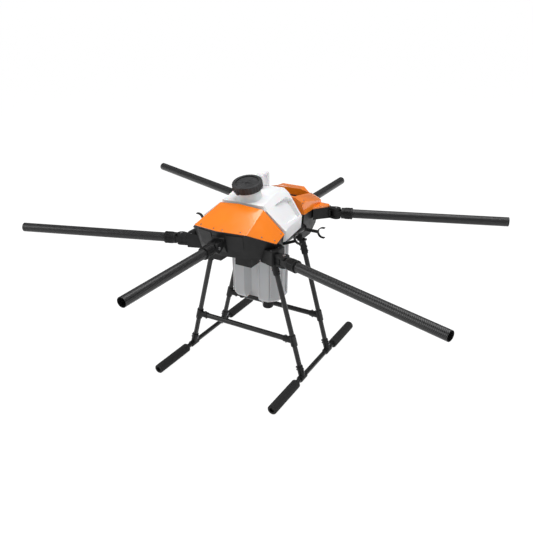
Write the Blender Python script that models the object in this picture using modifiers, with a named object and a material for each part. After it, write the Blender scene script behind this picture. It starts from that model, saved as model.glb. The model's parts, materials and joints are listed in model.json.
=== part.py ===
"""Folding six-arm airframe of an agricultural spray drone: the bare frame with its plug-in liquid tank.

Units are metres, +Z is up. The nose points along -Y, and the origin lies on the ground under the
middle of the frame. Every separate piece is its own object.
"""

import math

import bmesh
import bpy
from mathutils import Matrix, Vector

# --------------------------------------------------------------------------- driving dimensions
GAP = 0.0003                # clearance between neighbouring pieces
TUBE_R = 0.020              # arm tube, outside radius
TUBE_BORE_R = 0.0182        # arm tube, inside radius
HIGH_ARM_Z = 0.656          # axis height of the nose and rear side arms
LOW_ARM_Z = 0.606           # axis height of the tail and front side arms
SIDE_PIN_X = 0.252          # fold pins of the four side arms

FRONT_ARM_ANGLE = 71.3      # front side arms, degrees from the nose direction
REAR_ARM_ANGLE = 109.7      # rear side arms, degrees from the nose direction
FRONT_ARM_LENGTH = 0.754    # fold pin to the open end of the tube
REAR_ARM_LENGTH = 0.739
NOSE_ARM_LENGTH = 0.529
TAIL_ARM_LENGTH = 0.540

FORK_HALF_GAP = 0.0130      # half the slot between the fork's two ears
FORK_HALF_HEIGHT = 0.0235   # half the fork's height along the pin
PIN_R = 0.0042
COLLAR_START = 0.0366       # lock collar, distance from the fold pin when locked
COLLAR_END = 0.0740
COLLAR_R = 0.0262

TUB_WALL = 0.004            # moulded chassis tubs
HOOD_WALL = 0.0025
TUB_BOTTOM_Z = 0.560        # flat strip under each tub that the landing gear bolts to
FRONT_TUB_REAR_Y = -0.1525
REAR_TUB_FRONT_Y = 0.0835
BEAM_X = 0.165              # the two tubes that join the tubs
BEAM_Z = 0.622
BEAM_R = 0.015

SHOULDER_Z = 0.638          # underside of the tank's upper body, resting on the beams
TANK_TOP_Z = 0.800
TANK_BOTTOM_Z = 0.300
TANK_WALL = 0.003
DECK_BREAK_Y = -0.040       # the tank's top slopes down in front of this line
DECK_SLOPE = 0.2272
NECK_TILT = 12.8            # degrees the filler neck leans forward, square to the sloping deck
NECK_R = 0.0525
NECK_BORE_R = 0.0498
NECK_TOP_Z = 0.842

SKID_X = 0.296              # landing gear
SKID_Z = 0.021
LEG_R = 0.011
SKID_R = 0.011
CROSSBAR_R = 0.0120
CROSSBAR_Z = 0.194
LEG_SLOPE = 0.2685          # how far a leg leans in for each metre up
FRONT_LEG_Y = -0.1580
REAR_LEG_Y = 0.1000
FOOT_R = 0.021

FINE = 24                   # sides of a large round
COARSE = 12                 # sides of a small round

# --------------------------------------------------------------------------- scene and collections
for old in list(bpy.data.objects):
    bpy.data.objects.remove(old, do_unlink=True)

PARTS = bpy.data.collections.new("spray_drone_airframe")
CUTTERS = bpy.data.collections.new("cutters")
for collection in (PARTS, CUTTERS):
    bpy.context.scene.collection.children.link(collection)


def material(name, color, roughness, metallic=0.0):
    """A Principled material with one colour."""
    mat = bpy.data.materials.new(name)
    mat.use_nodes = True
    shader = mat.node_tree.nodes["Principled BSDF"]
    shader.inputs["Base Color"].default_value = (*color, 1.0)
    shader.inputs["Roughness"].default_value = roughness
    shader.inputs["Metallic"].default_value = metallic
    return mat


CARBON = material("carbon_tube", (0.025, 0.025, 0.027), 0.35)
NYLON = material("black_nylon", (0.030, 0.030, 0.032), 0.50)
RUBBER = material("black_rubber", (0.020, 0.020, 0.020), 0.80)
FOAM = material("black_foam", (0.018, 0.018, 0.018), 0.95)
ORANGE = material("orange_gloss", (0.900, 0.190, 0.010), 0.20)
TANK_WHITE = material("tank_plastic", (0.850, 0.860, 0.870), 0.35)
STEEL = material("steel", (0.450, 0.450, 0.460), 0.35, 1.0)


# --------------------------------------------------------------------------- modelling helpers
def link_mesh(name, bm, matrix=None):
    """Turn a bmesh into an object of the cutters collection; finish() moves the kept ones."""
    if matrix is not None:
        bmesh.ops.transform(bm, matrix=matrix, verts=bm.verts)
    mesh = bpy.data.meshes.new(name)
    bm.to_mesh(mesh)
    bm.free()
    obj = bpy.data.objects.new(name, mesh)
    CUTTERS.objects.link(obj)
    return obj


def apply_modifiers(obj):
    """Replace the object's mesh by its evaluated mesh."""
    depsgraph = bpy.context.evaluated_depsgraph_get()
    mesh = bpy.data.meshes.new_from_object(obj.evaluated_get(depsgraph), depsgraph=depsgraph)
    obj.modifiers.clear()
    obj.data = mesh
    return obj


def outward(obj, matrix=None):
    """Place the object's mesh and turn its faces outwards."""
    bm = bmesh.new()
    bm.from_mesh(obj.data)
    if matrix is not None:
        bmesh.ops.transform(bm, matrix=matrix, verts=bm.verts)
    bmesh.ops.remove_doubles(bm, verts=bm.verts, dist=0.00002)
    bmesh.ops.recalc_face_normals(bm, faces=bm.faces)
    bm.to_mesh(obj.data)
    bm.free()
    return obj


def boolean(obj, tool, operation):
    modifier = obj.modifiers.new(operation.lower(), "BOOLEAN")
    modifier.operation = operation
    modifier.solver = "EXACT"
    modifier.object = tool
    apply_modifiers(obj)
    bpy.data.objects.remove(tool, do_unlink=True)
    return obj


def cut(obj, *tools):
    for tool in tools:
        boolean(obj, tool, "DIFFERENCE")
    return obj


def fuse(obj, *tools):
    for tool in tools:
        boolean(obj, tool, "UNION")
    return obj


def box(name, low, high):
    """A box between two corners."""
    low, high = Vector(low), Vector(high)
    bm = bmesh.new()
    size = Matrix.Diagonal((*(high - low), 1.0))
    bmesh.ops.create_cube(bm, size=1.0, matrix=Matrix.Translation((low + high) / 2) @ size)
    return link_mesh(name, bm)


def rod(name, start, end, radius, sides=COARSE, end_radius=None):
    """A round bar between two points, tapered when end_radius is given."""
    start, end = Vector(start), Vector(end)
    along = end - start
    bm = bmesh.new()
    turn = along.to_track_quat("Z", "Y").to_matrix().to_4x4()
    place = Matrix.Translation((start + end) / 2) @ turn
    far_radius = radius if end_radius is None else end_radius
    bmesh.ops.create_cone(bm, cap_ends=True, segments=sides, radius1=radius, radius2=far_radius,
                          depth=along.length, matrix=place)
    return link_mesh(name, bm)


def turned(name, profile, sides=FINE, matrix=None):
    """A closed (radius, height) outline turned about Z; it runs down its outer side."""
    mesh = bpy.data.meshes.new(name)
    count = len(profile)
    edges = [(i, (i + 1) % count) for i in range(count)]
    mesh.from_pydata([(radius, 0.0, height) for radius, height in profile], edges, [])
    obj = bpy.data.objects.new(name, mesh)
    CUTTERS.objects.link(obj)
    screw = obj.modifiers.new("turn", "SCREW")
    screw.axis = "Z"
    screw.angle = math.tau
    screw.steps = sides
    screw.render_steps = sides
    screw.use_merge_vertices = True
    screw.merge_threshold = 0.00005
    apply_modifiers(obj)
    return outward(obj, matrix)


def ring(name, inner, outer, low, high, sides=FINE, matrix=None):
    return turned(name, [(outer, high), (outer, low), (inner, low), (inner, high)], sides, matrix)


def plate(name, outline, low, high, matrix=None):
    """A flat outline in the XY plane, thick from low to high."""
    curve = bpy.data.curves.new(name, "CURVE")
    curve.dimensions = "2D"
    curve.fill_mode = "BOTH"
    curve.extrude = (high - low) / 2
    spline = curve.splines.new("POLY")
    spline.points.add(len(outline) - 1)
    for point, (x, y) in zip(spline.points, outline):
        point.co = (x, y, 0.0, 1.0)
    spline.use_cyclic_u = True
    guide = bpy.data.objects.new(name, curve)
    CUTTERS.objects.link(guide)
    depsgraph = bpy.context.evaluated_depsgraph_get()
    mesh = bpy.data.meshes.new_from_object(guide.evaluated_get(depsgraph), depsgraph=depsgraph)
    bpy.data.objects.remove(guide, do_unlink=True)
    bm = bmesh.new()
    bm.from_mesh(mesh)
    bmesh.ops.remove_doubles(bm, verts=bm.verts, dist=0.00005)
    bmesh.ops.recalc_face_normals(bm, faces=bm.faces)
    bmesh.ops.translate(bm, vec=(0.0, 0.0, (low + high) / 2), verts=bm.verts)
    return link_mesh(name, bm, matrix)


def cap(bm, loop, flip):
    """Close a mirrored ring with strips that run straight across the middle plane."""
    count = len(loop)
    first = 0 if abs(loop[0].co.x) < 1e-6 else -1
    for i in range(count // 2):
        corners = [loop[i], loop[i + 1], loop[(first - i - 1) % count], loop[(first - i) % count]]
        corners = list(dict.fromkeys(corners))
        if len(corners) > 2:
            bm.faces.new(corners[::-1] if flip else corners)


def loft(name, rings):
    """A closed solid through mirrored rings of points, which share one count."""
    bm = bmesh.new()
    loops = [[bm.verts.new(point) for point in ring_points] for ring_points in rings]
    for lower, upper in zip(loops, loops[1:]):
        for i in range(len(lower)):
            j = (i + 1) % len(lower)
            bm.faces.new((lower[i], lower[j], upper[j], upper[i]))
    cap(bm, loops[0], True)
    cap(bm, loops[-1], False)
    bmesh.ops.remove_doubles(bm, verts=bm.verts, dist=0.00002)
    bmesh.ops.triangulate(bm, faces=[face for face in bm.faces if len(face.verts) > 3])
    bmesh.ops.recalc_face_normals(bm, faces=bm.faces)
    return link_mesh(name, bm)


def mirrored_ring(half):
    """A full ring from its +X half, which starts on the middle plane or beside it."""
    left = [(-x, y, z) for x, y, z in reversed(half) if abs(x) > 1e-6]
    return list(half) + left


def across(point, side):
    """The same point on the right (side 1) or the left (side -1)."""
    return Vector((point[0] * side, point[1], point[2]))


def finish(obj, name, mat, matrix=None, origin=None, sharp_angle=35.0):
    """Name, place and shade one kept piece."""
    if obj.name in CUTTERS.objects:
        CUTTERS.objects.unlink(obj)
    PARTS.objects.link(obj)
    obj.name = name
    obj.data.name = name
    obj.data.materials.clear()
    obj.data.materials.append(mat)
    if origin is not None:
        obj.data.transform(Matrix.Translation(-Vector(origin)))
        obj.matrix_world = Matrix.Translation(Vector(origin))
    if matrix is not None:
        obj.matrix_world = matrix
    obj.data.shade_smooth()
    obj.data.set_sharp_from_angle(angle=math.radians(sharp_angle))
    return obj


# --------------------------------------------------------------------------- arms
def arm_frame(pin, direction, fold_side):
    """Local axes of an arm: X out along it, Y towards the side it folds to, Z along its pin."""
    x_axis = Vector(direction).normalized()
    y_axis = Vector(fold_side) - x_axis * x_axis.dot(Vector(fold_side))
    y_axis.normalize()
    z_axis = x_axis.cross(y_axis)
    turn = Matrix((x_axis, y_axis, z_axis)).transposed().to_4x4()
    return Matrix.Translation(Vector(pin)) @ turn


def side_arm(side, angle_degrees, pin_y, height, fold_y):
    angle = math.radians(angle_degrees)
    direction = (side * math.sin(angle), -math.cos(angle), 0.0)
    return arm_frame((side * SIDE_PIN_X, pin_y, height), direction, (0.0, fold_y, 0.0))


FRONT_PIN_Y = -0.2463
REAR_PIN_Y = 0.2388
NOSE_PIN_Y = -0.3600
TAIL_PIN_Y = 0.3270

# Block outlines in each arm's own plane: behind the fork, cut back on the side the arm folds to.
FRONT_BLOCK = [(-0.105, -0.034), (-0.036, -0.034), (-0.033, -0.028), (-0.033, 0.0),
               (-0.048, 0.045), (-0.105, 0.060)]
REAR_BLOCK = [(-0.100, -0.030), (-0.027, -0.030), (-0.027, 0.0), (-0.100, 0.038)]
END_BLOCK = [(-0.100, -0.034), (-0.030, -0.034), (-0.027, -0.030), (-0.027, 0.0),
             (-0.043, 0.034), (-0.100, 0.034)]

# name: (frame, length, block outline, block low, block high along the pin)
ARMS = {
    "nose": (arm_frame((0, NOSE_PIN_Y, HIGH_ARM_Z), (0, -1, 0), (0, 0, -1)),
             NOSE_ARM_LENGTH, END_BLOCK, -0.029, 0.029),
    "tail": (arm_frame((0, TAIL_PIN_Y, LOW_ARM_Z), (0, 1, 0), (0, 0, -1)),
             TAIL_ARM_LENGTH, END_BLOCK, -0.029, 0.029),
    "front_right": (side_arm(1, FRONT_ARM_ANGLE, FRONT_PIN_Y, LOW_ARM_Z, 1),
                    FRONT_ARM_LENGTH, FRONT_BLOCK, -0.026, 0.034),
    "front_left": (side_arm(-1, FRONT_ARM_ANGLE, FRONT_PIN_Y, LOW_ARM_Z, 1),
                   FRONT_ARM_LENGTH, FRONT_BLOCK, -0.034, 0.026),
    "rear_right": (side_arm(1, REAR_ARM_ANGLE, REAR_PIN_Y, HIGH_ARM_Z, -1),
                   REAR_ARM_LENGTH, REAR_BLOCK, -0.0235, 0.026),
    "rear_left": (side_arm(-1, REAR_ARM_ANGLE, REAR_PIN_Y, HIGH_ARM_Z, -1),
                  REAR_ARM_LENGTH, REAR_BLOCK, -0.026, 0.0235),
}


def ear_outline(radius, back, fold_limit):
    """A fork ear: round about the pin, with a flat back and its folding side cut away."""
    start, end, steps = -90.0, 120.0, 12
    angles = [math.radians(start + (end - start) * i / steps) for i in range(steps + 1)]
    arc = [(radius * math.cos(a), radius * math.sin(a)) for a in angles]
    return [(back, -radius)] + arc + [(back, fold_limit)]


def pin_bore(radius, name="pin_bore"):
    return rod(name, (0, 0, -0.05), (0, 0, 0.05), radius)


def make_root(name, outline, low, high):
    """The fixed fork block that the arm's knuckle turns in."""
    root = plate(name, outline, low, high)
    face = max(x for x, _ in outline)
    for bottom, top in ((-FORK_HALF_HEIGHT, -FORK_HALF_GAP), (FORK_HALF_GAP, FORK_HALF_HEIGHT)):
        ear = plate("ear", ear_outline(0.021, face - 0.006, 0.004), bottom, top)
        fuse(root, ear)
    # the web between the ears leans back so that the tongue's flat side clears it when folded
    web = plate("web", [(face - 0.006, -0.0195), (-0.0090, -0.0195), (-0.0090, -0.0070),
                        (-0.0192, -0.0070), (-0.0247, 0.0080), (face - 0.006, 0.0080)],
                -FORK_HALF_GAP - 0.002, FORK_HALF_GAP + 0.002)
    cut(web, rod("knuckle_space", (0, 0, -0.02), (0, 0, 0.02), 0.0205, FINE))
    return cut(fuse(root, web), pin_bore(PIN_R + GAP))


def make_knuckle(name):
    """The moving half of the fold: a tongue on the pin, a flange, and a spigot inside the tube."""
    angles = [math.radians(90 + 180 * i / 10) for i in range(11)]
    nose = [(0.0195 * math.cos(a), 0.0195 * math.sin(a)) for a in angles]
    half = FORK_HALF_GAP - 0.0005
    knuckle = plate(name, nose + [(0.027, -0.0195), (0.027, 0.0195)], -half, half)
    fuse(knuckle, rod("flange", (0.0238, 0, 0), (0.0360, 0, 0), 0.0245, FINE))
    fuse(knuckle, rod("spigot", (0.0350, 0, 0), (0.0950, 0, 0), 0.0177, FINE))
    return cut(knuckle, pin_bore(PIN_R + GAP))


ALONG_X = Matrix.Rotation(math.radians(90), 4, "Y")


def make_tube(name, length):
    return ring(name, TUBE_BORE_R, TUBE_R, 0.0363, length, FINE, ALONG_X)


def make_collar(name):
    """The lock collar, with a rim at its outer end; it slides out along the tube to free the fold."""
    inner = TUBE_R + 0.0007
    rim, body = COLLAR_END - 0.007, COLLAR_R - 0.0012
    outline = [(inner, COLLAR_END), (COLLAR_R, COLLAR_END), (COLLAR_R, rim), (body, rim),
               (body, COLLAR_START), (inner, COLLAR_START)]
    return turned(name, outline, FINE, ALONG_X)


def make_pin(name):
    """A headed fold pin with a retaining ring at its lower end."""
    top = FORK_HALF_HEIGHT + GAP
    profile = [(0.0, top + 0.0025), (0.0068, top + 0.0025), (0.0068, top), (PIN_R, top),
               (PIN_R, -top), (0.0060, -top), (0.0060, -top - 0.0015), (0.0, -top - 0.0015)]
    return turned(name, profile, COARSE)


root_cutters = {"front": [], "rear": []}
for arm_name, (frame, length, outline, low, high) in ARMS.items():
    finish(make_root("root", outline, low, high), f"arm_root_{arm_name}", NYLON, frame)
    finish(make_knuckle("knuckle"), f"arm_knuckle_{arm_name}", NYLON, frame)
    finish(make_tube("tube", length), f"arm_tube_{arm_name}", CARBON, frame)
    finish(make_collar("collar"), f"lock_collar_{arm_name}", NYLON, frame)
    pin = make_pin("pin")
    if arm_name.endswith("left"):       # the left arms' pins point down: turn their heads up
        pin.data.transform(Matrix.Rotation(math.pi, 4, "X"))
    finish(pin, f"fold_pin_{arm_name}", STEEL, frame)
    # The tub is cut away round the block, and round the fork in front of it.
    grown = [(x + math.copysign(GAP, x + 0.06), y + math.copysign(GAP, y)) for x, y in outline]
    block = plate("block_space", grown, low - GAP, high + GAP, frame)
    fork = plate("fork_space", [(-0.034, -0.0265), (0.03, -0.0265), (0.03, 0.0265), (-0.034, 0.0265)],
                 -0.030, 0.030, frame)
    tub = "front" if arm_name in ("nose", "front_right", "front_left") else "rear"
    root_cutters[tub] += [block, fork]


# --------------------------------------------------------------------------- chassis tubs and hoods
def tub(name, top, bottom):
    """A moulded tub, open at the top, between two half outlines."""
    outer = loft(name, [mirrored_ring(bottom), mirrored_ring(top)])
    middle_y = sum(point[1] for point in bottom) / len(bottom)

    def inset(point, lift):
        x, y, z = point
        toward = TUB_WALL if y < middle_y else -TUB_WALL
        return (x - TUB_WALL * 1.2 if x > TUB_WALL else x, y + toward, z + lift)

    inner = loft("tub_space", [mirrored_ring([inset(p, TUB_WALL) for p in bottom]),
                               mirrored_ring([inset(p, 0.0005) for p in top]),
                               mirrored_ring([inset(p, 0.05) for p in top])])
    return cut(outer, inner)


FRONT_TUB_TOP = [(0.0, -0.3400, 0.7160), (0.1215, -0.3135, 0.7110), (0.2025, -0.2235, 0.6590),
                 (0.2010, -0.1900, 0.6660), (0.2000, FRONT_TUB_REAR_Y, 0.6735)]
FRONT_TUB_BOTTOM = [(0.0, -0.3120, 0.6000), (0.1120, -0.2850, 0.5980), (0.1760, -0.2150, 0.5850),
                    (0.1760, -0.1880, TUB_BOTTOM_Z), (0.1760, FRONT_TUB_REAR_Y, TUB_BOTTOM_Z)]
REAR_TUB_TOP = [(0.0, 0.2990, 0.6795), (0.1300, 0.2870, 0.6795), (0.1650, 0.2530, 0.6795),
                (0.1660, 0.1640, 0.6795), (0.1690, REAR_TUB_FRONT_Y, 0.6795)]
REAR_TUB_BOTTOM = [(0.0, 0.2800, 0.6000), (0.1150, 0.2720, 0.6000), (0.1500, 0.2400, 0.5900),
                   (0.1580, 0.1700, TUB_BOTTOM_Z), (0.1600, REAR_TUB_FRONT_Y, TUB_BOTTOM_Z)]

front_tub = tub("front_tub", FRONT_TUB_TOP, FRONT_TUB_BOTTOM)
for side in (1, -1):
    # the box under each front corner
    pod = box("pod", (min(side * 0.036, side * 0.112), -0.268, 0.554),
              (max(side * 0.036, side * 0.112), -0.200, 0.6045))
    fuse(front_tub, pod)
cut(front_tub, *root_cutters["front"])
finish(front_tub, "front_chassis", NYLON)

rear_tub = tub("rear_tub", REAR_TUB_TOP, REAR_TUB_BOTTOM)
cut(rear_tub, *root_cutters["rear"])

# Front hood: two front panels with a slight ridge between them and one panel down each side.
HOOD_EDGE = [(0.0, -0.3450, 0.7200), (0.1240, -0.3180, 0.7150), (0.2050, -0.2250, 0.6620),
             (0.2030, -0.1530, 0.6780)]
HOOD_CREST = [(0.0, -0.1750, 0.7820), (0.1050, -0.1550, 0.7660)]


def front_hood_shell():
    bm = bmesh.new()
    centre, corner, low_corner, heel = HOOD_EDGE
    ridge, crest = HOOD_CREST
    for side in (1, -1):
        vert = {key: bm.verts.new(across(point, side)) for key, point in
                (("centre", centre), ("corner", corner), ("low", low_corner), ("heel", heel),
                 ("ridge", ridge), ("crest", crest))}
        panels = [("centre", "corner", "crest", "ridge"), ("corner", "low", "crest"),
                  ("low", "heel", "crest")]
        for keys in panels:
            order = keys if side == 1 else keys[::-1]
            bm.faces.new([vert[key] for key in order])
    bmesh.ops.remove_doubles(bm, verts=bm.verts, dist=0.00002)
    hood = link_mesh("front_hood_shell", bm)
    thick = hood.modifiers.new("wall", "SOLIDIFY")
    thick.thickness = HOOD_WALL
    thick.offset = -1.0
    thick.use_even_offset = True
    return apply_modifiers(hood)


finish(front_hood_shell(), "front_hood", ORANGE, sharp_angle=5.0)

# Rear hood: a body with sloping sides, a flat crest at the back and a corner tab over each rear arm.
REAR_HOOD_FRONT = [(0.1710, 0.0830, 0.6810), (0.1710, 0.0830, 0.6920), (0.1520, 0.0830, 0.7370),
                   (0.1250, 0.0830, 0.7520)]
REAR_HOOD_MIDDLE = [(0.1690, 0.2550, 0.6810), (0.1690, 0.2550, 0.6990), (0.1240, 0.2550, 0.7220),
                    (0.0620, 0.2550, 0.7360)]
REAR_HOOD_BACK = [(0.1320, 0.2900, 0.6810), (0.1320, 0.2900, 0.7000), (0.0950, 0.2930, 0.7060),
                  (0.0560, 0.3020, 0.7340)]
RECESS_X = 0.112
RECESS_Y = (0.1080, 0.2500)
TAB = [(0.1600, 0.1560), (0.1670, 0.1640), (0.2215, 0.2320), (0.2125, 0.2490), (0.1600, 0.2530)]
TAB_BOTTOM_Z, TAB_TOP_Z = 0.6810, 0.6890


def inset_section(section, wall, y):
    """The section shrunk by the wall, moved to y."""
    base, knee, shoulder, crest = section
    return [(base[0] - wall, y, base[2] - 0.02), (knee[0] - wall, y, knee[2] - wall * 0.4),
            (shoulder[0] - wall * 0.7, y, shoulder[2] - wall), (crest[0] - wall * 0.3, y, crest[2] - wall)]


rear_hood = loft("rear_hood", [mirrored_ring(section)
                               for section in (REAR_HOOD_FRONT, REAR_HOOD_MIDDLE, REAR_HOOD_BACK)])
space = loft("hood_space", [mirrored_ring(inset_section(REAR_HOOD_FRONT, HOOD_WALL, 0.0830 + HOOD_WALL)),
                            mirrored_ring(inset_section(REAR_HOOD_MIDDLE, HOOD_WALL, 0.2530)),
                            mirrored_ring(inset_section(REAR_HOOD_BACK, HOOD_WALL, 0.2880))])
cut(space, box("recess_wall", (-RECESS_X - HOOD_WALL, RECESS_Y[0] - HOOD_WALL, 0.6),
               (RECESS_X + HOOD_WALL, RECESS_Y[1] + HOOD_WALL, 0.8)))
cut(rear_hood, space)
for side in (1, -1):
    tab_outline = [(side * x, y) for x, y in TAB]
    fuse(rear_hood, plate("tab", tab_outline, TAB_BOTTOM_Z, TAB_TOP_Z))
    cut(rear_hood, box("tab_space", (min(side * 0.140, side * 0.1664), 0.11, 0.66),
                       (max(side * 0.140, side * 0.1664), 0.2495, 0.6960)))
cut(rear_hood, box("recess", (-RECESS_X, RECESS_Y[0], 0.6), (RECESS_X, RECESS_Y[1], 0.8)))
finish(rear_hood, "rear_hood", ORANGE, sharp_angle=15.0)

# --------------------------------------------------------------------------- inside the tubs
tray = box("tray", (-0.085, -0.258, 0.6900), (0.085, -0.168, 0.6930))
POST_FEET = {-0.246: 0.6065, -0.172: TUB_BOTTOM_Z + TUB_WALL + 0.0005}
for x in (-0.075, 0.075):
    for y, foot_z in POST_FEET.items():
        fuse(tray, rod("post", (x, y, foot_z), (x, y, 0.6915), 0.005, 10))
finish(tray, "electronics_tray", NYLON)

battery_tray = box("battery_tray", (-0.1114, 0.1086, 0.6470), (0.1114, 0.2494, 0.7050))
cut(battery_tray, box("battery_space", (-0.1084, 0.1116, 0.6500), (0.1084, 0.2464, 0.80)))
finish(battery_tray, "battery_tray", NYLON)


def make_beam(x):
    """A tube between the tubs with a bolted flange at each end."""
    start, end = FRONT_TUB_REAR_Y + GAP, REAR_TUB_FRONT_Y - GAP
    half = (end - start) / 2
    bore = BEAM_R - 0.0015
    profile = [(bore, half), (0.0190, half), (0.0190, half - 0.004), (BEAM_R, half - 0.004),
               (BEAM_R, -half + 0.004), (0.0190, -half + 0.004), (0.0190, -half), (bore, -half)]
    place = Matrix.Translation((x, (start + end) / 2, BEAM_Z)) @ Matrix.Rotation(math.radians(90), 4, "X")
    return turned("beam", profile, FINE, place)


finish(make_beam(BEAM_X), "chassis_beam_right", CARBON)
finish(make_beam(-BEAM_X), "chassis_beam_left", CARBON)


# --------------------------------------------------------------------------- clips for folded arms
CLIP_INNER_R = TUBE_R + 0.0008
CLIP_OUTER_R = CLIP_INNER_R + 0.0038
CLIP_WIDTH = 0.014


def clip_outline():
    """A half ring open to +X with straight lips, in its own XY plane."""
    steps = 12
    angles = [math.radians(90 + 180 * i / steps) for i in range(steps + 1)]
    outer = [(CLIP_OUTER_R * math.cos(a), CLIP_OUTER_R * math.sin(a)) for a in angles]
    inner = [(CLIP_INNER_R * math.cos(a), CLIP_INNER_R * math.sin(a)) for a in reversed(angles)]
    return [(0.009, CLIP_OUTER_R)] + outer + [(0.009, -CLIP_OUTER_R), (0.009, -CLIP_INNER_R)] \
        + inner + [(0.009, CLIP_INNER_R)]


def make_clip(side, y, height, stem):
    """One clip; stem is the outline of its bracket, in the same plane."""
    place = Matrix.Translation((side * SIDE_PIN_X, y, height)) @ Matrix.Diagonal((side, 1, 1, 1)) \
        @ Matrix.Rotation(math.radians(90), 4, "X")
    clip = plate("clip", clip_outline(), -CLIP_WIDTH / 2, CLIP_WIDTH / 2)
    fuse(clip, plate("stem", stem, -CLIP_WIDTH / 2, CLIP_WIDTH / 2))
    return outward(clip, place)


# the front clips' stems run down to a saddle on the beam; the rear ones bolt to the tub's side
BEAM_FROM_FRONT_CLIP = (BEAM_X - SIDE_PIN_X, BEAM_Z - HIGH_ARM_Z)
saddle_x, saddle_y = BEAM_FROM_FRONT_CLIP
FRONT_STEM = [(saddle_x + BEAM_R + GAP, saddle_y - 0.007), (-0.0180, -0.0185), (-0.0228, -0.0085),
              (-0.0560, -0.0245), (saddle_x + BEAM_R + GAP, saddle_y + 0.007)]
REAR_STEM = [(-0.0905, -0.005), (-0.0225, -0.005), (-0.0225, 0.005), (-0.0905, 0.005)]
FRONT_CLIP_Y, REAR_CLIP_Y = -0.118, 0.104
for side, side_name in ((1, "right"), (-1, "left")):
    finish(make_clip(side, FRONT_CLIP_Y, HIGH_ARM_Z, FRONT_STEM), f"arm_clip_{side_name}", NYLON)
    fuse(rear_tub, make_clip(side, REAR_CLIP_Y, LOW_ARM_Z, REAR_STEM))
finish(rear_tub, "rear_chassis", NYLON)


# --------------------------------------------------------------------------- tank
def tank_ring(z, x_front, x_rear, y_front, y_rear, chamfer, slope):
    """A rectangle with chamfered corners, tapered from front to rear, its front part sloping down."""
    x_break = x_front + (x_rear - x_front) * (DECK_BREAK_Y - y_front) / (y_rear - y_front)
    half = [(x_front - chamfer, y_front), (x_front, y_front + chamfer), (x_break, DECK_BREAK_Y),
            (x_rear, y_rear - chamfer), (x_rear - chamfer, y_rear)]
    return mirrored_ring([(x, y, z + slope * min(0.0, y - DECK_BREAK_Y)) for x, y in half])


def tank_rings(inset):
    """The tank's outer rings, or its cavity's when inset is the wall."""
    def level(z, x_front, x_rear, y_front, y_rear, chamfer, lift=0.0, slope=0.0):
        return tank_ring(z + lift, x_front - inset, x_rear - inset, y_front + inset, y_rear - inset,
                         chamfer, slope)

    return [level(TANK_BOTTOM_Z, 0.1120, 0.1120, -0.0800, 0.0520, 0.034, inset),
            level(TANK_BOTTOM_Z + 0.012, 0.1200, 0.1200, -0.0880, 0.0600, 0.034, inset),
            level(SHOULDER_Z, 0.1260, 0.1260, -0.0900, 0.0620, 0.034, inset),
            level(SHOULDER_Z + 0.0001, 0.1960, 0.1760, -0.1460, 0.0540, 0.012, inset),
            level(0.6900, 0.1990, 0.1790, -0.1480, 0.0560, 0.012),
            level(0.7840, 0.1120, 0.1140, -0.1480, 0.0560, 0.010, -inset * 0.5, DECK_SLOPE),
            level(TANK_TOP_Z, 0.0960, 0.0960, -0.1475, 0.0520, 0.010, -inset, DECK_SLOPE)]


# the neck and the cap are drawn upright about Z, then leaned forward about a point below the lid
AT_NECK = Matrix.Translation((0, -0.0975, 0.8057)) @ Matrix.Rotation(math.radians(NECK_TILT), 4, "X") \
    @ Matrix.Translation((0, 0, -TANK_TOP_Z))


def neck_rod(name, low, high, radius):
    return outward(rod(name, (0, 0, low), (0, 0, high), radius, FINE), AT_NECK)


def channel(name, half_front, half_back, back_y, top):
    """A groove space up the front of the lower tank, narrower at its back."""
    return plate(name, [(-half_front, -0.12), (half_front, -0.12), (half_front, -0.0880),
                        (half_back, back_y), (-half_back, back_y), (-half_front, -0.0880)], 0.2, top)


tank = loft("tank", tank_rings(0.0))
fuse(tank, neck_rod("neck", 0.765, NECK_TOP_Z, NECK_R))
cavity = loft("cavity", tank_rings(TANK_WALL))
cut(cavity, channel("channel_wall", 0.0400, 0.0165, -0.0645, 0.633))
cut(tank, cavity)
cut(tank, neck_rod("neck_bore", 0.760, 0.9, NECK_BORE_R))
OUTLET = Vector((0.062, -0.052, TANK_BOTTOM_Z))
DRAIN = Vector((-0.075, -0.055, TANK_BOTTOM_Z))
for port in (OUTLET, DRAIN):
    cut(tank, rod("port", port - Vector((0, 0, 0.02)), port + Vector((0, 0, 0.02)), 0.0090))
# front channel that stiffens the lower body
cut(tank, channel("channel", 0.0360, 0.0140, -0.0680, 0.630))
finish(tank, "tank", TANK_WHITE, origin=(0, 0, SHOULDER_Z), sharp_angle=25.0)

# strap handle that stands on the tank's flat top, seen from the side as (y, z)
foot_z = TANK_TOP_Z + GAP
handle_path = [(-0.018, foot_z), (-0.014, 0.857), (-0.006, 0.866), (0.044, 0.866), (0.050, 0.858),
               (0.050, foot_z), (0.036, foot_z), (0.036, 0.852), (0.000, 0.852), (-0.004, foot_z)]
UPRIGHT = Matrix.Rotation(math.radians(90), 4, "Z") @ Matrix.Rotation(math.radians(90), 4, "X")
finish(plate("handle", handle_path, -0.016, 0.016, UPRIGHT), "tank_handle", TANK_WHITE)

RING_TOP_Z = 0.8540
finish(ring("gasket", 0.0485, 0.0520, NECK_TOP_Z + GAP, NECK_TOP_Z + 0.0025, FINE, AT_NECK),
       "lid_gasket", RUBBER, origin=AT_NECK @ Vector((0, 0, NECK_TOP_Z)))

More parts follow.
